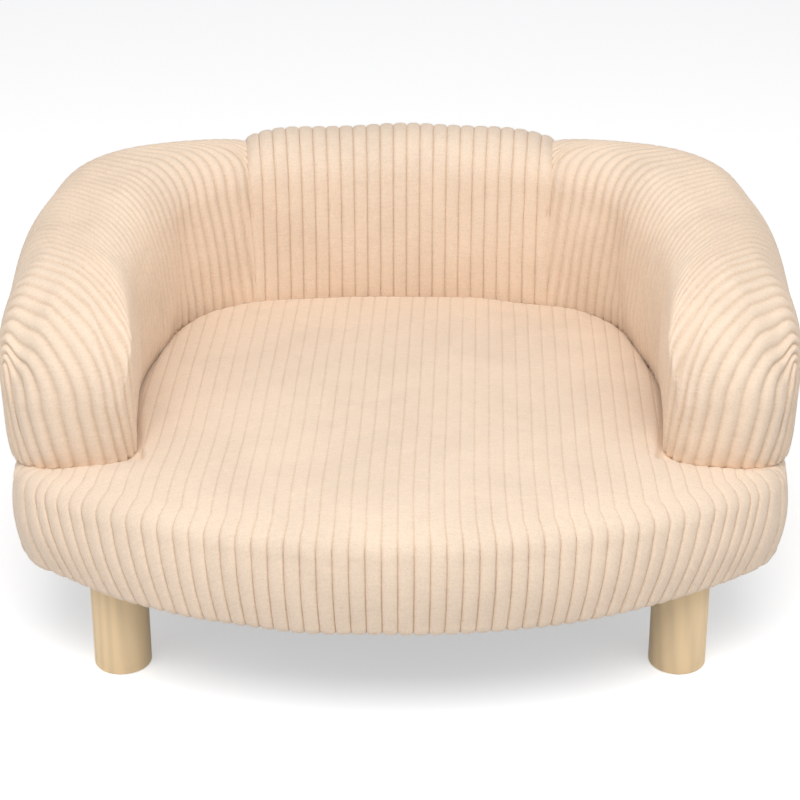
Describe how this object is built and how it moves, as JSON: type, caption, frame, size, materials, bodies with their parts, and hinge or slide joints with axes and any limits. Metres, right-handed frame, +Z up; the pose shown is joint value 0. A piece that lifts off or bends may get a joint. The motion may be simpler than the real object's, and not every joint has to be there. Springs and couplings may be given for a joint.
{
  "type": "pet armchair",
  "caption": "Low, round-backed armchair for a small pet: padded base, arms and back in ribbed plush, on round screw-in wooden legs.",
  "frame": {"origin": "on the floor, below the middle of the chair's bounding box", "axes": "+Z up, the open front of the seat towards -Y, +X to the right as seen from the front"},
  "size_m": [0.6002, 0.5001, 0.3],
  "materials": {
    "corduroy": "matte",
    "foam": "matte",
    "black_cloth": "matte",
    "lining_cloth": "matte",
    "plywood": "matte",
    "hardboard": "matte",
    "pine": "satin",
    "zinc_steel": "satin"
  },
  "bodies": {
    "chair": {"base_board": "plywood", "seat_foam": "foam", "seat_cover": "corduroy", "dust_cover": "black_cloth", "staples": "zinc_steel", "leg_tee_nuts": "zinc_steel", "backrest_rail": "plywood", "left_core_panel": "hardboard", "centre_core_panel": "hardboard", "right_core_panel": "hardboard", "left_arm_front_board": "plywood", "right_arm_front_board": "plywood", "glue_blocks": "pine", "panel_screws": "zinc_steel", "centre_back_foam": "foam", "left_arm_foam": "foam", "right_arm_foam": "foam", "centre_back_cover": "corduroy", "left_arm_cover": "corduroy", "right_arm_cover": "corduroy", "centre_back_lining": "lining_cloth", "left_arm_lining": "lining_cloth", "right_arm_lining": "lining_cloth", "backrest_bolts": "zinc_steel", "backrest_washers": "zinc_steel", "backrest_tee_nuts": "zinc_steel"},
    "washer_front_left": {"leg_washer_front_left": "zinc_steel"},
    "leg_front_left": {"leg_front_left": "pine", "hanger_bolt_front_left": "zinc_steel"},
    "washer_front_right": {"leg_washer_front_right": "zinc_steel"},
    "leg_front_right": {"leg_front_right": "pine", "hanger_bolt_front_right": "zinc_steel"},
    "washer_rear_left": {"leg_washer_rear_left": "zinc_steel"},
    "leg_rear_left": {"leg_rear_left": "pine", "hanger_bolt_rear_left": "zinc_steel"},
    "washer_rear_right": {"leg_washer_rear_right": "zinc_steel"},
    "leg_rear_right": {"leg_rear_right": "pine", "hanger_bolt_rear_right": "zinc_steel"}
  },
  "joints": [
    {"name": "front_left_leg_travel", "type": "slide", "parent": "chair", "child": "washer_front_left", "axis": [0, 0, -1], "range_m": [0, 0.0163]},
    {"name": "front_left_leg_turn", "type": "hinge", "parent": "washer_front_left", "child": "leg_front_left", "pos_m": [-0.21, -0.148, 0.04], "axis": [0, 0, -1], "range_deg": [0, 4680]},
    {"name": "front_right_leg_travel", "type": "slide", "parent": "chair", "child": "washer_front_right", "axis": [0, 0, -1], "range_m": [0, 0.0163]},
    {"name": "front_right_leg_turn", "type": "hinge", "parent": "washer_front_right", "child": "leg_front_right", "pos_m": [0.21, -0.148, 0.04], "axis": [0, 0, -1], "range_deg": [0, 4680]},
    {"name": "rear_left_leg_travel", "type": "slide", "parent": "chair", "child": "washer_rear_left", "axis": [0, 0, -1], "range_m": [0, 0.0163]},
    {"name": "rear_left_leg_turn", "type": "hinge", "parent": "washer_rear_left", "child": "leg_rear_left", "pos_m": [-0.21, 0.148, 0.04], "axis": [0, 0, -1], "range_deg": [0, 4680]},
    {"name": "rear_right_leg_travel", "type": "slide", "parent": "chair", "child": "washer_rear_right", "axis": [0, 0, -1], "range_m": [0, 0.0163]},
    {"name": "rear_right_leg_turn", "type": "hinge", "parent": "washer_rear_right", "child": "leg_rear_right", "pos_m": [0.21, 0.148, 0.04], "axis": [0, 0, -1], "range_deg": [0, 4680]}
  ],
  "couplings": [
    {"joint": "front_left_leg_travel", "follows": "front_left_leg_turn", "m_per_rad": 0.00019894},
    {"joint": "front_right_leg_travel", "follows": "front_right_leg_turn", "m_per_rad": 0.00019894},
    {"joint": "rear_left_leg_travel", "follows": "rear_left_leg_turn", "m_per_rad": 0.00019894},
    {"joint": "rear_right_leg_travel", "follows": "rear_right_leg_turn", "m_per_rad": 0.00019894}
  ]
}
